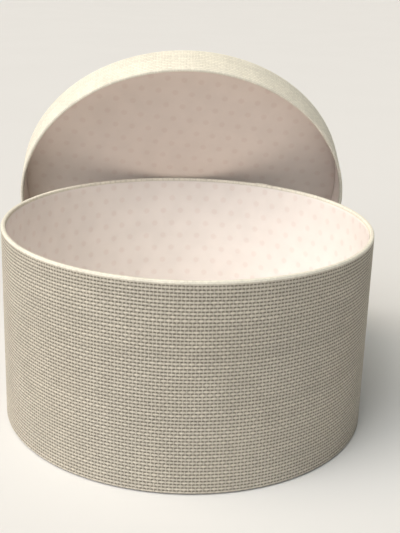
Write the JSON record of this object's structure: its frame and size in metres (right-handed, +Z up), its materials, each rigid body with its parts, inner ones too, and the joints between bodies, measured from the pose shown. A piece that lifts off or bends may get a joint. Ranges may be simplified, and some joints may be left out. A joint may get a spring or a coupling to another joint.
{
  "type": "hat box",
  "caption": "Round cloth-covered hat box with a straight wall, dotted lining and a shallow lift-off lid that leans behind it with its lined side forward.",
  "frame": {"origin": "centre of the underside of the base, on the surface that the box stands on", "axes": "+Z up along the base's axis; -Y is the front, where the open lid's lined side faces; the lid leans on the base's back from +Y"},
  "size_m": [0.3076, 0.3766, 0.2895],
  "materials": {
    "woven_cloth": "matte",
    "dotted_lining": "matte",
    "grey_board": "matte",
    "white_card": "matte"
  },
  "bodies": {
    "base": {"base_wall_cloth": "woven_cloth", "base_bottom_cloth": "woven_cloth", "base_wall_lining": "dotted_lining", "base_floor_lining": "dotted_lining", "base_wall_board": "grey_board", "base_floor_board": "grey_board", "base_floor_card": "white_card"},
    "lid": {"lid_wall_cloth": "woven_cloth", "lid_top_cloth": "woven_cloth", "lid_wall_lining": "dotted_lining", "lid_top_lining": "dotted_lining", "lid_wall_board": "grey_board", "lid_top_board": "grey_board", "lid_top_card": "white_card"}
  },
  "joints": [
    {"name": "lid_lift_off", "type": "slide", "parent": "base", "child": "lid", "axis": [0, 0, 1], "range_m": [0, 0.21]}
  ]
}
